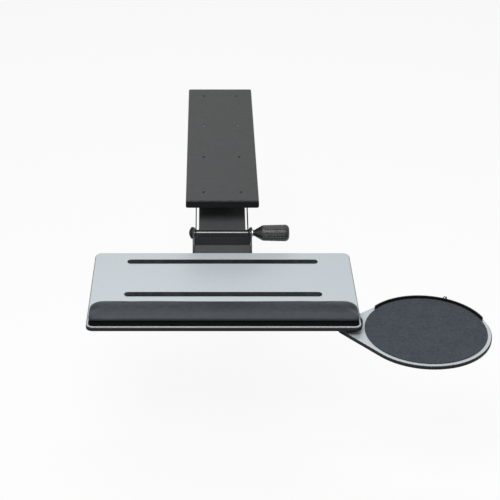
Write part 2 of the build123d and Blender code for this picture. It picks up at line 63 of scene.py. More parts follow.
# Lamps, world and floor, which lies well under the tray
WHITE = (1.0, 1.0, 1.0)
WORLD_FILL = 0.24
FLOOR_HEIGHT = -0.48
FLOOR_SIZE = 30.0
FLOOR_COLOUR = (0.88, 0.88, 0.88)
FLOOR_ROUGHNESS = 0.9
FLOOR_WHITE_SHARE = 0.9
Lamp = namedtuple("Lamp", "name place aim width height power")
LAMPS = (
    Lamp("key", (-0.25, -1.8, 1.8), (0.1, -0.4, -0.1), 1.0, 0.9, 38.0),
    Lamp("overhead", (0.1, 0.1, 2.2), (0.1, -0.4, -0.1), 1.6, 0.22, 18.0),
    Lamp("side", (2.0, -0.9, 1.3), (0.15, -0.45, -0.1), 0.6, 0.9, 4.0),
    Lamp("back", (-0.5, 1.7, 1.5), (0.0, -0.3, -0.1), 1.2, 0.5, 4.0),
)


def link(data, name):
    made = bpy.data.objects.new(name, data)
    scene.collection.objects.link(made)
    return made


def make_camera():
    camera = link(bpy.data.cameras.new("camera"), "camera")
    camera.location = CAMERA_PLACE
    camera.rotation_euler = (math.pi / 2 - CAMERA_PITCH, 0, 0)
    camera.data.sensor_width = SENSOR
    camera.data.lens = FOCAL_PIXELS / PICTURE * SENSOR
    camera.data.shift_x = 0.5 - AXIS_PIXEL_X / PICTURE
    camera.data.clip_end = 4 * FLOOR_SIZE
    scene.camera = camera


# Shader helpers


def feed(node, inputs):
    """Links or sets the inputs of a node."""
    for label, value in inputs.items():
        socket = node.inputs[label]
        if isinstance(value, bpy.types.NodeSocket):
            node.id_data.links.new(value, socket)
        elif isinstance(value, tuple) and len(value) == 3 and socket.type == "RGBA":
            socket.default_value = (*value, 1.0)
        else:
            socket.default_value = value
    return node


def add(tree, kind, inputs=None, **settings):
    """A shader node with its settings, and its inputs linked or set."""
    node = tree.nodes.new("ShaderNode" + kind)
    for label, value in settings.items():
        setattr(node, label, value)
    return feed(node, inputs or {})


def maths(tree, operation, *values):
    return add(tree, "Math", dict(enumerate(values)), operation=operation).outputs[0]


def ramp(tree, value, low, high, to_low=0.0, to_high=1.0):
    """A value spread smoothly from low..high to to_low..to_high, and held at the ends."""
    inputs = {"Value": value, "From Min": low, "From Max": high}
    inputs.update({"To Min": to_low, "To Max": to_high})
    return add(tree, "MapRange", inputs, interpolation_type="SMOOTHSTEP").outputs["Result"]


def blend_colours(tree, share, first, second):
    inputs = {0: share, 6: first, 7: second}
    return add(tree, "Mix", inputs, data_type="RGBA").outputs[2]


def model_place(tree):
    """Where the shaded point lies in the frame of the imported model."""
    return add(tree, "TexCoord").outputs["Object"]


def axes_of(tree, vector):
    return add(tree, "SeparateXYZ", {0: vector}).outputs


def cloud(tree, place, scale, detail):
    inputs = {"Vector": place, "Scale": scale, "Detail": detail}
    return add(tree, "TexNoise", inputs).outputs[0]


def eased_normal(tree, radius):
    """The normal as if every edge were rounded to the radius."""
    return add(tree, "Bevel", {"Radius": radius}, samples=6).outputs[0]


def sees_backdrop(tree):
    """1 for the rays that are to see white: from the camera, off gloss and through glass."""
    rays = add(tree, "LightPath").outputs
    seen = maths(tree, "MAXIMUM", rays["Is Camera Ray"], rays["Is Glossy Ray"])
    return maths(tree, "MAXIMUM", seen, rays["Is Transmission Ray"])


def new_group(name, inputs, outputs):
    """A node group, with its entry sockets and its output node."""
    tree = bpy.data.node_groups.new(name, "ShaderNodeTree")
    kinds = {"value": "NodeSocketFloat", "colour": "NodeSocketColor"}
    for label, kind, value in inputs:
        socket = tree.interface.new_socket(label, in_out="INPUT", socket_type=kinds[kind])
        socket.default_value = value if kind == "value" else (*value, 1.0)
    for label, kind in outputs:
        tree.interface.new_socket(label, in_out="OUTPUT", socket_type=kinds[kind])
    entry = tree.nodes.new("NodeGroupInput").outputs
    leave = tree.nodes.new("NodeGroupOutput")
    return tree, entry, leave


def grouped(tree, group, **inputs):
    """A group placed in a material, with its inputs set."""
    node = tree.nodes.new("ShaderNodeGroup")
    node.node_tree = group
    return feed(node, inputs)


# Effects that several finishes share


def colour_drift():
    """A colour that grows a little lighter and darker over the surface."""
    inputs = [
        ("Colour", "colour", (0.5, 0.5, 0.5)), ("Scale", "value", 40.0), ("Spread", "value", 0.1),
    ]
    tree, entry, leave = new_group("colour_drift", inputs, [("Colour", "colour")])
    patches = cloud(tree, model_place(tree), entry["Scale"], detail=5.0)
    swing = maths(tree, "SUBTRACT", patches, 0.5)
    gain = maths(tree, "MULTIPLY_ADD", maths(tree, "MULTIPLY", swing, entry["Spread"]), 2.0, 1.0)
    scaled = add(tree, "VectorMath", {0: entry["Colour"], "Scale": gain}, operation="SCALE")
    feed(leave, {"Colour": scaled.outputs[0]})
    return tree


def edge_wear():
    """A mask of sharp edges where the coat has worn thin, broken up by noise."""
    flat, sharp = 0.995, 0.86
    whole, wear_and_highlight = 0.42, 0.62
    inputs = [("Width", "value", 0.6 * MM), ("Amount", "value", 0.5)]
    tree, entry, leave = new_group("edge_wear", inputs, [("Mask", "value")])
    true_normal = add(tree, "NewGeometry").outputs["Normal"]
    normals = {0: eased_normal(tree, entry["Width"]), 1: true_normal}
    agree = add(tree, "VectorMath", normals, operation="DOT_PRODUCT").outputs["Value"]
    patches = cloud(tree, model_place(tree), scale=260.0, detail=6.0)
    edges = ramp(tree, agree, flat, sharp)
    worn = maths(tree, "MULTIPLY", edges, ramp(tree, patches, whole, wear_and_highlight))
    feed(leave, {"Mask": maths(tree, "MULTIPLY", worn, entry["Amount"])})
    return tree


def moulded_grain():
    """Fine rounded bumps, as left by a mould or a powder coat, and a mask of broad patches."""
    thin, thick = 0.3, 0.7
    outputs = [("Height", "value"), ("Mask", "value")]
    tree, entry, leave = new_group("moulded_grain", [("Size", "value", 0.6 * MM)], outputs)
    place = model_place(tree)
    scale = maths(tree, "DIVIDE", 1.0, entry["Size"])
    cells = add(tree, "TexVoronoi", {"Vector": place, "Scale": scale}, feature="SMOOTH_F1")
    fine = cloud(tree, place, scale, detail=3.0)
    broad = cloud(tree, place, scale=90.0, detail=4.0)
    height = maths(tree, "SUBTRACT", fine, cells.outputs["Distance"])
    feed(leave, {"Height": height, "Mask": ramp(tree, broad, thin, thick)})
    return tree


def settled_dust():
    """A mask of the thin film on faces that look up, thicker in patches."""
    steep, level = 0.5, 1.0
    bare, dusty = 0.35, 0.75
    inputs = [("Amount", "value", 0.1)]
    tree, entry, leave = new_group("settled_dust", inputs, [("Mask", "value")])
    upward = axes_of(tree, add(tree, "NewGeometry").outputs["Normal"])["Z"]
    patches = cloud(tree, model_place(tree), scale=35.0, detail=7.0)
    facing = ramp(tree, upward, steep, level)
    film = maths(tree, "MULTIPLY", facing, ramp(tree, patches, bare, dusty))
    feed(leave, {"Mask": maths(tree, "MULTIPLY", film, entry["Amount"])})
    return tree


def cloth_knit():
    """Rows of small loops: height for the bump, and a mask of their tops."""
    fibres_per_loop = 1.6
    fuzz_height = 4.0
    hollow, top = -0.6, 1.8
    inputs = [("Pitch", "value", 0.8 * MM), ("Fuzz", "value", 0.4)]
    outputs = [("Height", "value"), ("Mask", "value")]
    tree, entry, leave = new_group("cloth_knit", inputs, outputs)
    place = model_place(tree)
    axes = axes_of(tree, place)
    turns = maths(tree, "DIVIDE", 2 * math.pi, entry["Pitch"])
    across = maths(tree, "SINE", maths(tree, "MULTIPLY", axes["X"], turns))
    depth = maths(tree, "ADD", axes["Y"], axes["Z"])
    along = maths(tree, "SINE", maths(tree, "MULTIPLY", depth, turns))
    loops = maths(tree, "MULTIPLY", across, along)
    scale = maths(tree, "DIVIDE", fibres_per_loop, entry["Pitch"])
    fuzz = maths(tree, "MULTIPLY", cloud(tree, place, scale, detail=4.0), entry["Fuzz"])
    height = maths(tree, "ADD", loops, maths(tree, "MULTIPLY", fuzz, fuzz_height))
    feed(leave, {"Height": height, "Mask": ramp(tree, height, hollow, top)})
    return tree


DRIFT = colour_drift()
WEAR = edge_wear()
GRAIN = moulded_grain()
DUST = settled_dust()
KNIT = cloth_knit()
DUST_COLOUR = (0.42, 0.41, 0.39)
# Colour of painted shade, in grooves and on shaded sides
PAINTED_SHADE_COLOUR = (0.003, 0.003, 0.0032)
# Colour of the painted highlight on the front shoulder of the palm rest
PAINTED_HIGHLIGHT_COLOUR = (0.076, 0.086, 0.099)
# Colour of the painted shade on the upright edges of the silver sheet
EDGE_SHADE_COLOUR = (0.05, 0.052, 0.055)
# Width of the band that wears, in widths of the eased edge
WEAR_BAND = 1.5


# Hard finishes


def start_material(name):
    made = bpy.data.materials.new(name)
    made.use_nodes = True
    return made, made.node_tree, made.node_tree.nodes["Principled BSDF"]


def coated(
    name, colour, worn, rough, grain, relief, rough_swing=0.08, specular=0.5, metallic=0.0,
    wear=0.5, dust=0.05, drift=0.12, drift_scale=30.0, edge=0.4 * MM,
    painted_shade=None, shade_colour=PAINTED_SHADE_COLOUR,
):
    """A hard finish: drifting colour, worn edges, dust, fine grain and eased edges.

    grain is the size of the bumps and relief their height. An optional mask paints shade, in its
    own colour, on places such as grooves.
    """
    made, tree, shader = start_material(name)
    drifted = grouped(tree, DRIFT, Colour=colour, Scale=drift_scale, Spread=drift)
    wear_and_highlight = grouped(tree, WEAR, Width=WEAR_BAND * edge, Amount=wear)
    film = grouped(tree, DUST, Amount=dust)
    bumps = grouped(tree, GRAIN, Size=grain).outputs
    tint = blend_colours(tree, wear_and_highlight.outputs["Mask"], drifted.outputs["Colour"], worn)
    tint = blend_colours(tree, film.outputs["Mask"], tint, DUST_COLOUR)
    # Painted shade, where its mask is given
    if painted_shade:
        tint = blend_colours(tree, painted_shade(tree), tint, shade_colour)
    gloss = ramp(tree, bumps["Mask"], 0.0, 1.0, rough - rough_swing, rough + rough_swing)
    bump_inputs = {"Height": bumps["Height"], "Distance": relief, "Strength": 1.0}
    bump_inputs["Normal"] = eased_normal(tree, edge)
    bump = add(tree, "Bump", bump_inputs).outputs[0]
    feed(shader, {"Base Color": tint, "Roughness": gloss, "Normal": bump})
    feed(shader, {"Specular IOR Level": specular, "Metallic": metallic})
    return made


def painted_steel(name="painted_steel", colour=(0.030, 0.0315, 0.0325)):
    return coated(
        name, colour, worn=(0.11, 0.11, 0.11), rough=0.48, rough_swing=0.015, specular=0.2,
        grain=0.7 * MM, relief=0.02 * MM, edge=0.3 * MM, wear=0.15, dust=0.008, drift=0.06,
    )


def gloss_tube():
    return coated(
        "gloss_tube", (0.004, 0.0043, 0.0047), worn=(0.08, 0.08, 0.08), rough=0.14,
        rough_swing=0.02, specular=0.75, grain=4.0 * MM, relief=0.005 * MM, wear=0.2, dust=0.0,
    )


def zinc_steel():
    return coated(
        "zinc_steel", (0.62, 0.63, 0.64), worn=(0.75, 0.75, 0.76), rough=0.27, metallic=1.0,
        grain=0.9 * MM, relief=0.01 * MM, dust=0.02, drift=0.08, drift_scale=120.0,
    )


def turned_brass():
    return coated(
        "turned_brass", (0.72, 0.52, 0.24), worn=(0.82, 0.66, 0.38), rough=0.28, metallic=1.0,
        grain=0.8 * MM, relief=0.01 * MM, wear=0.3, dust=0.0, drift=0.1,
    )


def moulded_black():
    return coated(
        "moulded_black", (0.007, 0.0073, 0.0078), worn=(0.04, 0.04, 0.04), rough=0.45,
        specular=0.12, grain=0.9 * MM, relief=0.03 * MM, wear=0.25, dust=0.015,
    )


def gloss_moulding():
    return coated(
        "gloss_moulding", (0.005, 0.0052, 0.0056), worn=(0.04, 0.04, 0.04), rough=0.28,
        specular=0.2, grain=5.0 * MM, relief=0.01 * MM, wear=0.2, dust=0.005,
    )


def glide_plastic():
    return coated(
        "glide_plastic", (0.66, 0.65, 0.60), worn=(0.5, 0.49, 0.45), rough=0.38,
        grain=1.2 * MM, relief=0.02 * MM, wear=0.3, dust=0.02, drift=0.06,
    )


def board_black():
    return coated(
        "board_black", (0.010, 0.0105, 0.0115), worn=(0.06, 0.06, 0.06), rough=0.48,
        specular=0.15, grain=1.1 * MM, relief=0.04 * MM, wear=0.35, dust=0.01,
    )


def grip_rubber():
    return coated(
        "grip_rubber", (0.008, 0.0082, 0.0088), worn=(0.03, 0.03, 0.03), rough=0.70,
        specular=0.1, grain=0.6 * MM, relief=0.05 * MM, wear=0.2, dust=0.02,
    )


# A darker copy of the grip rubber, as painted shade on the skirt under the cover
def shaded_skirt_rubber():
    return coated(
        "shaded_skirt_rubber", (0.003, 0.0031, 0.0034), worn=(0.02, 0.02, 0.02), rough=0.60,
        specular=0.05, grain=0.6 * MM, relief=0.03 * MM, wear=0.15, dust=0.01,
    )


def pad_foam():
    return coated(
        "pad_foam", (0.016, 0.016, 0.017), worn=(0.03, 0.03, 0.03), rough=0.85,
        specular=0.2, grain=0.8 * MM, relief=0.12 * MM, wear=0.2,
    )


# Painted shade: how far a face of the silver sheet looks up where it is still fully silver, and
# where the shade is full
SILVER_UPWARD = 0.9
SHADE_UPWARD = 0.6


def sheet_edge_shade(tree):
    """A mask of painted shade on the upright edges of a sheet."""
    upward = axes_of(tree, add(tree, "TexCoord").outputs["Normal"])["Z"]
    return ramp(tree, maths(tree, "ABSOLUTE", upward), SILVER_UPWARD, SHADE_UPWARD)


def silver_skin():
    """The silver sheet of the platform and the mouse tray, with a fine pebble and painted shade on
    its upright edges.
    """
    return coated(
        "silver_skin", (0.46, 0.507, 0.535), worn=(0.57, 0.60, 0.62), rough=0.45,
        rough_swing=0.02, specular=0.35, metallic=0.1, grain=1.1 * MM, relief=0.08 * MM,
        wear=0.4, dust=0.0, drift=0.30, drift_scale=650.0,
        painted_shade=sheet_edge_shade, shade_colour=EDGE_SHADE_COLOUR,
    )


KNOB_FLUTES = 22
# Where the flutes start and are full, from the inner end of the knob
FLUTES_START = 15 * MM
FLUTES_FULL = 22 * MM
FLUTE_RIB, FLUTE_BOTTOM = -0.1, 0.8


def painted_flute_shade(tree):
    """A mask of painted shade in the bottoms of the knob's flutes, which are evenly spread round
    its axis.
    """
    low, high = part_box("clamp_knob")
    axes = axes_of(tree, model_place(tree))
    up = maths(tree, "SUBTRACT", axes["Z"], (low.z + high.z) / 2)
    back = maths(tree, "SUBTRACT", axes["Y"], (low.y + high.y) / 2)
    turn = maths(tree, "ARCTAN2", up, back)
    wave = maths(tree, "COSINE", maths(tree, "MULTIPLY", turn, KNOB_FLUTES))
    grip = ramp(tree, axes["X"], low.x + FLUTES_START, low.x + FLUTES_FULL)
    return maths(tree, "MULTIPLY", grip, ramp(tree, wave, FLUTE_RIB, FLUTE_BOTTOM))


def knob_plastic():
    return coated(
        "knob_plastic", (0.017, 0.0175, 0.0185), worn=(0.09, 0.09, 0.09), rough=0.27,
        rough_swing=0.05, specular=0.4, grain=0.8 * MM, relief=0.02 * MM, wear=0.3, dust=0.015,
        # Painted shade in the flute bottoms
        painted_shade=painted_flute_shade,
    )


# Cloth finishes

KNIT_FUZZ = 0.45
KNIT_STRENGTH = 0.8
CLOTH_DUST = 0.02
CLOTH_SPECULAR = 0.1
CLOTH_ROUGH_SWING = 0.07
SHEEN_ROUGHNESS = 0.5


def cloth(
    name, shade, lit, pitch, relief, rough, drift, drift_scale, sheen=0.0,
    painted_shade=None, wear_and_highlight=None,
):
    """A cloth cover: knitted relief, lighter loop tops and any sheen.

    Two optional masks paint shade on its darker places and a highlight on its lighter places.
    """
    made, tree, shader = start_material(name)
    knit = grouped(tree, KNIT, Pitch=pitch, Fuzz=KNIT_FUZZ).outputs
    threads = blend_colours(tree, knit["Mask"], shade, lit)
    drifted = grouped(tree, DRIFT, Colour=threads, Scale=drift_scale, Spread=drift)
    film = grouped(tree, DUST, Amount=CLOTH_DUST)
    tint = blend_colours(tree, film.outputs["Mask"], drifted.outputs["Colour"], DUST_COLOUR)
    # Painted highlight and painted shade, where their masks are given
    if wear_and_highlight:
        tint = blend_colours(tree, wear_and_highlight(tree), tint, PAINTED_HIGHLIGHT_COLOUR)
    if painted_shade:
        tint = blend_colours(tree, painted_shade(tree), tint, PAINTED_SHADE_COLOUR)
    rough_low, rough_top = rough + CLOTH_ROUGH_SWING, rough - CLOTH_ROUGH_SWING
    gloss = ramp(tree, knit["Mask"], 0.0, 1.0, rough_low, rough_top)
    bump_inputs = {"Height": knit["Height"], "Distance": relief, "Strength": KNIT_STRENGTH}
    bump = add(tree, "Bump", bump_inputs).outputs[0]
    feed(shader, {"Base Color": tint, "Roughness": gloss, "Normal": bump})
    feed(shader, {"Specular IOR Level": CLOTH_SPECULAR, "Sheen Weight": sheen})
    feed(shader, {"Sheen Roughness": SHEEN_ROUGHNESS})
    return made


# Painted shade: the sides of the cover darken between these shares of its height
SIDE_FOOT_SHARE = 0.10
SIDE_SHOULDER_SHARE = 0.74
SIDE_DARKNESS = 0.97
# The painted highlight on the front shoulder fades between these distances from the front
SHINE_FRONT = 4 * MM
SHINE_BACK = 34 * MM
SHINE_STRENGTH = 0.55


def painted_side_shade(tree):
    """A mask of painted shade that grows from the shoulder of the palm rest down its sides and
    makes them black.
    """
    low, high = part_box("palm_rest_pad")
    foot = low.z + SIDE_FOOT_SHARE * (high.z - low.z)
    shoulder = low.z + SIDE_SHOULDER_SHARE * (high.z - low.z)
    height = axes_of(tree, model_place(tree))["Z"]
    return ramp(tree, height, foot, shoulder, SIDE_DARKNESS, 0.0)


def painted_roll_highlight(tree):
    """A mask of the painted highlight on the front shoulder of the palm rest, lighter towards the
    front.
    """
    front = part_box("palm_rest_pad")[0].y
    depth = axes_of(tree, model_place(tree))["Y"]
    return ramp(tree, depth, front + SHINE_FRONT, front + SHINE_BACK, SHINE_STRENGTH, 0.0)


def palm_cloth():
    return cloth(
        "palm_cloth", shade=(0.0105, 0.0135, 0.018), lit=(0.023, 0.0285, 0.036),
        pitch=0.7 * MM, relief=0.03 * MM, rough=0.36, drift=0.7, drift_scale=110.0,
        # Painted shade down the sides, and a painted highlight on the front shoulder
        painted_shade=painted_side_shade, wear_and_highlight=painted_roll_highlight,
    )


def pad_cloth():
    return cloth(
        "pad_cloth", shade=(0.029, 0.0345, 0.042), lit=(0.059, 0.069, 0.082),
        pitch=0.9 * MM, relief=0.06 * MM, rough=0.88, drift=0.55, drift_scale=260.0, sheen=0.02,
    )


# The finish of each material slot of the record
FINISHES = {
    "black_steel": painted_steel(),
    "gloss_black": gloss_tube(),
    "bright_steel": zinc_steel(),
    "black_plastic": moulded_black(),
    "gloss_black_plastic": gloss_moulding(),
    "white_glide": glide_plastic(),
    "black_board": board_black(),
    "silver_sheet": silver_skin(),
    "black_rubber": grip_rubber(),
    "knob_plastic": knob_plastic(),
    "brass_insert": turned_brass(),
    "grey_cover": palm_cloth(),
    "pad_cloth": pad_cloth(),
}
LINK_STEEL = painted_steel("link_steel", (0.007, 0.0073, 0.0078))
# Pieces that differ from their slot: the bushes beside the tube are dark, the arm's coat is made
# lighter than the brackets' as painted light, its links have a darker coat, the skirt is made
# darker than the grip strips as painted shade, and the pad's core is bare foam
OWN_FINISHES = {
    "head_bushes": FINISHES["black_plastic"],
    "arm_channel": painted_steel("lit_arm_steel", (0.080, 0.084, 0.086)),
    "link_left": LINK_STEEL,
    "link_right": LINK_STEEL,
    "palm_rest_skirt": shaded_skirt_rubber(),
    "mouse_pad_foam": pad_foam(),
}


def finish_nodes():
    """Every node takes the finish of its slot in the record, or its own finish."""
    for part in frame["record"]["subparts"]:
        mesh = frame["nodes"][part["node"]].data
        mesh.materials.clear()
        finish = OWN_FINISHES.get(part["node"], FINISHES[part["material_slot"]])
        mesh.materials.append(finish)


def dress(piece, body, slot, *replaced):
    """Finish, body and slot of a new piece, and the nodes that it stands for."""
    piece.data.materials.append(OWN_FINISHES.get(piece.name, FINISHES[slot]))
    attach(piece, body)
    if replaced:
        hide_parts(*replaced)


# Mesh helpers


def smooth(piece, crease=None):
    """Smooth faces, with sharp edges over any crease angle, in degrees."""
    for face in piece.data.polygons:
        face.use_smooth = True
    if crease:
        piece.data.set_sharp_from_angle(angle=math.radians(crease))


def loft(name, rings, crease=None):
    """A closed skin over rings of as many points each, with a flat face at both ends."""
    work = bmesh.new()
    loops = [[work.verts.new(point) for point in ring] for ring in rings]
    count = len(loops[0])
    for lower, upper in zip(loops, loops[1:]):
        for i in range(count):
            j = (i + 1) % count
            work.faces.new((lower[i], lower[j], upper[j], upper[i]))
    work.faces.new(list(reversed(loops[0])))
    work.faces.new(loops[-1])
    bmesh.ops.recalc_face_normals(work, faces=work.faces)
    mesh = bpy.data.meshes.new(name)
    work.to_mesh(mesh)
    work.free()
    piece = link(mesh, name)
    smooth(piece, crease)
    return piece


def turned(name, profile, centre, sides):
    """A profile of radius and height, turned round an upright axis through centre."""
    rings = []
    for radius, height in profile:
        ring = []
        for step in range(sides):
            turn = 2 * math.pi * step / sides
            x, y = radius * math.cos(turn), radius * math.sin(turn)
            ring.append((centre.x + x, centre.y + y, height))
        rings.append(ring)
    return loft(name, rings)


def apply_modifiers(piece):
    graph = bpy.context.evaluated_depsgraph_get()
    mesh = bpy.data.meshes.new_from_object(piece.evaluated_get(graph))
    piece.modifiers.clear()
    old = piece.data
    piece.data = mesh
    bpy.data.meshes.remove(old)


# Palm rest: a gel pad in a cloth cover, on a moulded skirt

PALM_FRONT_CORNER = 9 * MM
PALM_BACK_CORNER = 25 * MM
PALM_LEAST_CORNER = PALM_FRONT_CORNER / 3
PALM_CORNER_STEPS = 14
PALM_VOXEL = 3 * MM
PALM_EASING = 0.5
PASSES_BEFORE_FILLING = 6
PASSES_AFTER_FILLING = 4
PALM_HELD_SHARE = 0.16
PALM_SWELL = 1.6 * MM
PALM_PRESSURE = 4.0
PALM_FRAMES = 20
PALM_CREASE = 0.16 * MM
# Waves per metre of the broad and the fine creases along X, Y and Z, and their strengths
BROAD_CREASES = (22, 30, 40)
FINE_CREASES = (95, 60, 60)
BROAD_STRENGTH = 0.7
FINE_STRENGTH = 0.5
# Height and inset of each ring of the cover, as shares of the pad's height
PALM_RING_SHARES = (
    (0.02, 0.30), (0.02, 0.10), (0.10, 0.04), (0.28, 0.03), (0.45, 0.08), (0.60, 0.19),
    (0.71, 0.35), (0.79, 0.56), (0.85, 0.82), (0.90, 1.15), (0.94, 1.55), (0.965, 1.95),
)
# Height over the platform, inset and toe of each ring of the skirt, in millimetres
SKIRT_RINGS = (
    (0.0, 0.3, 2.0), (0.25, 0.0, 2.2), (0.8, 0.0, 2.2), (1.1, 0.3, 2.0), (1.8, 0.8, 0.7),
    (2.3, 0.9, 0.2), (5.0, 0.9, 0.2), (5.6, 1.2, 0.2), (6.0, 2.4, 0.2),
)
SKIRT_CREASE = 35


def palm_ring(low, high, inset, height, toe=0.0):
    """The outline of the palm rest from above, drawn in by inset; its front stands toe forward."""
    left, right = low.x + inset, high.x - inset
    front, back = low.y + inset - toe, high.y - inset
    fore = max(PALM_FRONT_CORNER - inset / 2, PALM_LEAST_CORNER)
    rear = max(PALM_BACK_CORNER - inset, PALM_FRONT_CORNER)
    rear = min(rear, (back - front) - fore)
    corners = (
        (right - fore, front + fore, fore, -90), (right - rear, back - rear, rear, 0),
        (left + rear, back - rear, rear, 90), (left + fore, front + fore, fore, 180),
    )
    points = []
    for x, y, radius, start in corners:
        for step in range(PALM_CORNER_STEPS + 1):
            turn = math.radians(start + 90 * step / PALM_CORNER_STEPS)
            points.append((x + radius * math.cos(turn), y + radius * math.sin(turn), height))
    return points


def palm_skirt():
    """The black moulding under the cover, with a thin toe along the front."""
    low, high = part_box("palm_rest_base")
    rings = []
    for up, inset, toe in SKIRT_RINGS:
        rings.append(palm_ring(low, high, inset * MM, low.z + up * MM, toe * MM))
    skirt = loft("palm_rest_skirt", rings, SKIRT_CREASE)
    dress(skirt, "tray", "black_rubber", "palm_rest_base")


def palm_shell():
    """The cover before it fills, as a closed mesh of stacked rings."""
    low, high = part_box("palm_rest_pad")
    tall = high.z - low.z
    rings = []
    for up, inward in PALM_RING_SHARES:
        rings.append(palm_ring(low, high, inward * tall, low.z + up * tall))
    return loft("palm_rest_cover", rings)


def even_out(piece, passes):
    """A modifier that evens out the points of the cover."""
    easing = piece.modifiers.new("easing", "SMOOTH")
    easing.factor = PALM_EASING
    easing.iterations = passes


def fill_with_gel(piece):
    """Lets the cover swell like a filled pad: held at its foot, and capped in how far it moves."""
    low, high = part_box("palm_rest_pad")
    rest = [vertex.co.copy() for vertex in piece.data.vertices]
    held = piece.vertex_groups.new(name="held")
    foot = low.z + PALM_HELD_SHARE * (high.z - low.z)
    held.add([i for i, co in enumerate(rest) if co.z < foot], 1.0, "REPLACE")
    filling = piece.modifiers.new("fill", "CLOTH")
    filling.settings.vertex_group_mass = held.name
    filling.settings.use_pressure = True
    filling.settings.uniform_pressure_force = PALM_PRESSURE
    filling.settings.effector_weights.gravity = 0.0
    filling.point_cache.frame_start = 1
    filling.point_cache.frame_end = PALM_FRAMES
    for step in range(1, PALM_FRAMES + 1):
        scene.frame_set(step)
    apply_modifiers(piece)
    scene.frame_set(1)
    for vertex, start in zip(piece.data.vertices, rest):
        move = vertex.co - start
        if move.length > 0:
            reach = PALM_SWELL * math.tanh(move.length / PALM_SWELL)
            vertex.co = start + move * (reach / move.length)


def crease_cover(piece):
    """Faint pulls and pillows in the cloth, deeper towards the foot."""
    low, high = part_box("palm_rest_pad")
    normals = [vertex.normal.copy() for vertex in piece.data.vertices]
    places = []
    for vertex, normal in zip(piece.data.vertices, normals):
        spot = vertex.co.copy()
        broad = noise.noise(spot * Vector(BROAD_CREASES))
        fine = noise.noise(spot * Vector(FINE_CREASES))
        side = 1 - (spot.z - low.z) / (high.z - low.z)
        depth = BROAD_STRENGTH * broad + FINE_STRENGTH * fine * side
        places.extend(spot + normal * PALM_CREASE * depth)
    piece.data.vertices.foreach_set("co", places)
    piece.data.update()


def palm_rest():
    piece = palm_shell()
    voxels = piece.modifiers.new("voxels", "REMESH")
    voxels.mode = "VOXEL"
    voxels.voxel_size = PALM_VOXEL
    even_out(piece, PASSES_BEFORE_FILLING)
    apply_modifiers(piece)
    fill_with_gel(piece)
    even_out(piece, PASSES_AFTER_FILLING)
    finer = piece.modifiers.new("finer", "SUBSURF")
    finer.levels = finer.render_levels = 1
    apply_modifiers(piece)
    crease_cover(piece)
    smooth(piece)
    dress(piece, "tray", "grey_cover", "palm_rest_pad")


# Mouse pad: a knitted cloth bonded to a foam disc

PAD_SIDES = 256
PAD_SEAM_SHARE = 0.55
PAD_EASED = 0.35 * MM
PAD_CROWN = 0.06 * MM
PAD_CROWN_REACH = 5 * MM
CLOTH_OVERHANG = 0.1 * MM
FOAM_INSET = 0.2 * MM
# Inset and drop of each ring of the cloth's rounded edge, and the inset of its crown, as shares
# of the eased size
PAD_EDGE_SHARES = ((0.0, 2.0), (0.3, 1.0), (1.0, 0.3))
PAD_CROWN_INSET_SHARE = 2.2
# Radius of the inner rings, as shares of the rim
PAD_RING_SHARES = (0.6, 0.2)


def mouse_pad():
    low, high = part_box("mouse_pad")
    centre = (low + high) / 2
    rim = (high.x - low.x) / 2
    seam = low.z + PAD_SEAM_SHARE * (high.z - low.z)
    top = high.z
    inner = rim - 2 * PAD_EASED
    foam_profile = [
        (rim - PAD_EASED, low.z), (rim - FOAM_INSET, low.z + PAD_EASED),
        (rim - FOAM_INSET, seam), (inner, seam),
    ]
    cover_profile = [(inner, seam), (rim, seam + CLOTH_OVERHANG)]
    for inward, down in PAD_EDGE_SHARES:
        cover_profile.append((rim - inward * PAD_EASED, top - down * PAD_EASED))
    cover_profile.append((rim - PAD_CROWN_INSET_SHARE * PAD_EASED, top - PAD_CROWN))
    cover_profile.append((rim - PAD_CROWN_REACH, top))
    cover_profile += [(share * rim, top) for share in PAD_RING_SHARES]
    foam = turned("mouse_pad_foam", foam_profile, centre, PAD_SIDES)
    cover = turned("mouse_pad_cloth", cover_profile, centre, PAD_SIDES)
    for piece in (foam, cover):
        dress(piece, "mouse_tray", "pad_cloth", "mouse_pad")


# Rolled lip of the pivot head: it closes the gap under the arm's front tube

LIP_INNER = 7.5 * MM
LIP_OUTER = 8.9 * MM
LIP_HALF_LENGTH = 49 * MM
LIP_START, LIP_END = 6, -84
LIP_STEPS = 24
LIP_CREASE = 35


def rolled_lip():
    low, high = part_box("front_tube")
    middle = (low + high) / 2
    corners = (
        (-LIP_HALF_LENGTH, LIP_OUTER), (LIP_HALF_LENGTH, LIP_OUTER),
        (LIP_HALF_LENGTH, LIP_INNER), (-LIP_HALF_LENGTH, LIP_INNER),
    )
    sections = []
    for step in range(LIP_STEPS + 1):
        turn = math.radians(LIP_START + (LIP_END - LIP_START) * step / LIP_STEPS)
        ahead, up = math.cos(turn), math.sin(turn)
        section = []
        for x, radius in corners:
            section.append((x, middle.y - radius * ahead, middle.z + radius * up))
        sections.append(section)
    dress(loft("head_lip", sections, LIP_CREASE), "pivot_head", "black_steel")


# Screws with driver recesses, seen from below

SCREW_SIDES = 48
SCREW_CREASE = 30
RECESS_START = 0.5 * MM
CROSS_ARM = 2.3 * MM
CROSS_HALF_WIDTH = 0.42 * MM
CROSS_DEPTH = 1.5 * MM
CROSS_TAPER = 0.55
HEXAGON_SIDES = 6
HEXAGON_REACH = 3.0 * MM
HEXAGON_DEPTH = 2.4 * MM
# Radius of a pan head at heights over its lowest face, up to the shank, in millimetres
PAN_HEAD = (
    (0.6, 0.0), (2.6, 0.12), (3.5, 0.5), (4.0, 1.1), (4.2, 1.7), (4.2, 2.2), (2.0, 2.2),
)
PAN_RADIUS = 4.2 * MM
PAN_SHANK = 2.0 * MM
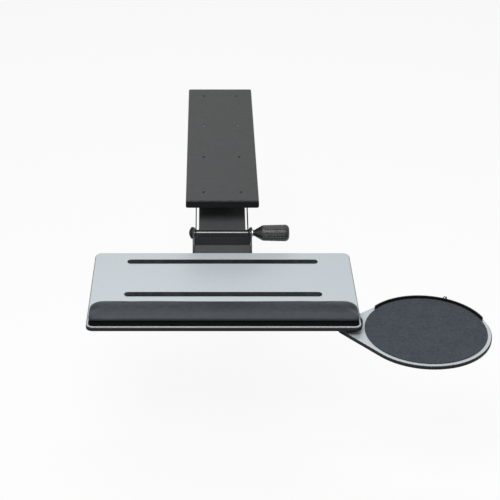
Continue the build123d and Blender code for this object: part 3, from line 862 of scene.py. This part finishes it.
# Inset of the pivot screw's head from its rim, at heights over its lowest face, in millimetres
PIVOT_HEAD = ((0.8, 0.0), (0.2, 0.25), (0.0, 0.8), (0.0, 3.6))
PIVOT_HEAD_DEPTH = 3.6 * MM
PIVOT_SHANK = 3 * MM


def prism(name, place, outline, depth, taper=1.0):
    """A cutter of (x, y) corners round place, drawn in by taper at its depth above place."""
    low, high = place.z - RECESS_START, place.z + depth
    under = [(place.x + x, place.y + y, low) for x, y in outline]
    over = [(place.x + taper * x, place.y + taper * y, high) for x, y in outline]
    return loft(name, [under, over])


def cross_recess(place):
    """A tapered cross, as a plus-shaped driver leaves it."""
    half, arm = CROSS_HALF_WIDTH, CROSS_ARM
    corners = (
        (arm, -half), (arm, half), (half, half), (half, arm), (-half, arm), (-half, half),
        (-arm, half), (-arm, -half), (-half, -half), (-half, -arm), (half, -arm), (half, -half),
    )
    return prism("cross", place, corners, CROSS_DEPTH, CROSS_TAPER)


def hexagon_recess(place):
    corners = []
    for step in range(HEXAGON_SIDES):
        turn = math.radians(360 / HEXAGON_SIDES * (step + 0.5))
        corners.append((HEXAGON_REACH * math.cos(turn), HEXAGON_REACH * math.sin(turn)))
    return prism("hexagon", place, corners, HEXAGON_DEPTH)


def recessed_screw(name, place, profile, recess):
    """A turned screw at place, with the recess cut out of the low end of it."""
    screw = turned(name, profile, place, SCREW_SIDES)
    cutter = recess(place)
    cut = screw.modifiers.new("recess", "BOOLEAN")
    cut.operation = "DIFFERENCE"
    cut.solver = "EXACT"
    cut.object = cutter
    apply_modifiers(screw)
    used = cutter.data
    bpy.data.objects.remove(cutter)
    bpy.data.meshes.remove(used)
    smooth(screw, SCREW_CREASE)
    return screw


def bracket_screws():
    """The six screws of the tray bracket, in two columns of three."""
    low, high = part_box("bracket_screws")
    profile = [(radius * MM, low.z + up * MM) for radius, up in PAN_HEAD]
    profile.append((PAN_SHANK, high.z))
    front, back = low.y + PAN_RADIUS, high.y - PAN_RADIUS
    for column, x in enumerate((low.x + PAN_RADIUS, high.x - PAN_RADIUS)):
        for row, y in enumerate((front, (front + back) / 2, back)):
            name = f"bracket_screw_{2 * row + column + 1}"
            screw = recessed_screw(name, Vector((x, y, low.z)), profile, cross_recess)
            dress(screw, "tray", "bright_steel", "bracket_screws")


def pivot_screw():
    low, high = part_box("pivot_screw")
    place = Vector(((low.x + high.x) / 2, (low.y + high.y) / 2, low.z))
    rim = (high.x - low.x) / 2
    profile = [(rim - inset * MM, low.z + up * MM) for inset, up in PIVOT_HEAD]
    profile += [(PIVOT_SHANK, low.z + PIVOT_HEAD_DEPTH), (PIVOT_SHANK, high.z)]
    screw = recessed_screw("pivot_screw_head", place, profile, hexagon_recess)
    dress(screw, "tray", "bright_steel", "pivot_screw")


# Floor, world and lamps


def pale_floor():
    """A floor that looks white, but keeps a share of its shading for the shadow."""
    mesh = bpy.data.meshes.new("floor")
    half = FLOOR_SIZE / 2
    corners = [(-half, -half), (half, -half), (half, half), (-half, half)]
    mesh.from_pydata([(x, y, FLOOR_HEIGHT) for x, y in corners], [], [(0, 1, 2, 3)])
    floor = link(mesh, "floor")
    made, tree, shader = start_material("pale_floor")
    feed(shader, {"Base Color": FLOOR_COLOUR, "Roughness": FLOOR_ROUGHNESS})
    glow = add(tree, "Emission", {"Color": WHITE, "Strength": 1.0})
    share = maths(tree, "MULTIPLY", sees_backdrop(tree), FLOOR_WHITE_SHARE)
    both = add(tree, "MixShader", {0: share, 1: shader.outputs[0], 2: glow.outputs[0]})
    feed(tree.nodes["Material Output"], {"Surface": both.outputs[0]})
    mesh.materials.append(made)


def pale_world():
    """A world that looks white, and lights the tray with a low fill."""
    world = bpy.data.worlds.new("studio")
    scene.world = world
    world.use_nodes = True
    tree = world.node_tree
    strength = ramp(tree, sees_backdrop(tree), 0.0, 1.0, WORLD_FILL, 1.0)
    feed(tree.nodes["Background"], {"Color": WHITE, "Strength": strength})


def hang_lamps():
    for spec in LAMPS:
        light = bpy.data.lights.new(spec.name, "AREA")
        light.shape = "RECTANGLE"
        light.size, light.size_y = spec.width, spec.height
        light.energy = spec.power
        lamp = link(light, spec.name)
        lamp.location = spec.place
        aim = Vector(spec.aim) - lamp.location
        lamp.rotation_euler = aim.to_track_quat("-Z", "Y").to_euler()


make_camera()
scene.view_settings.view_transform = "Standard"
pale_world()
pale_floor()
hang_lamps()
finish_nodes()
palm_skirt()
palm_rest()
mouse_pad()
rolled_lip()
bracket_screws()
pivot_screw()
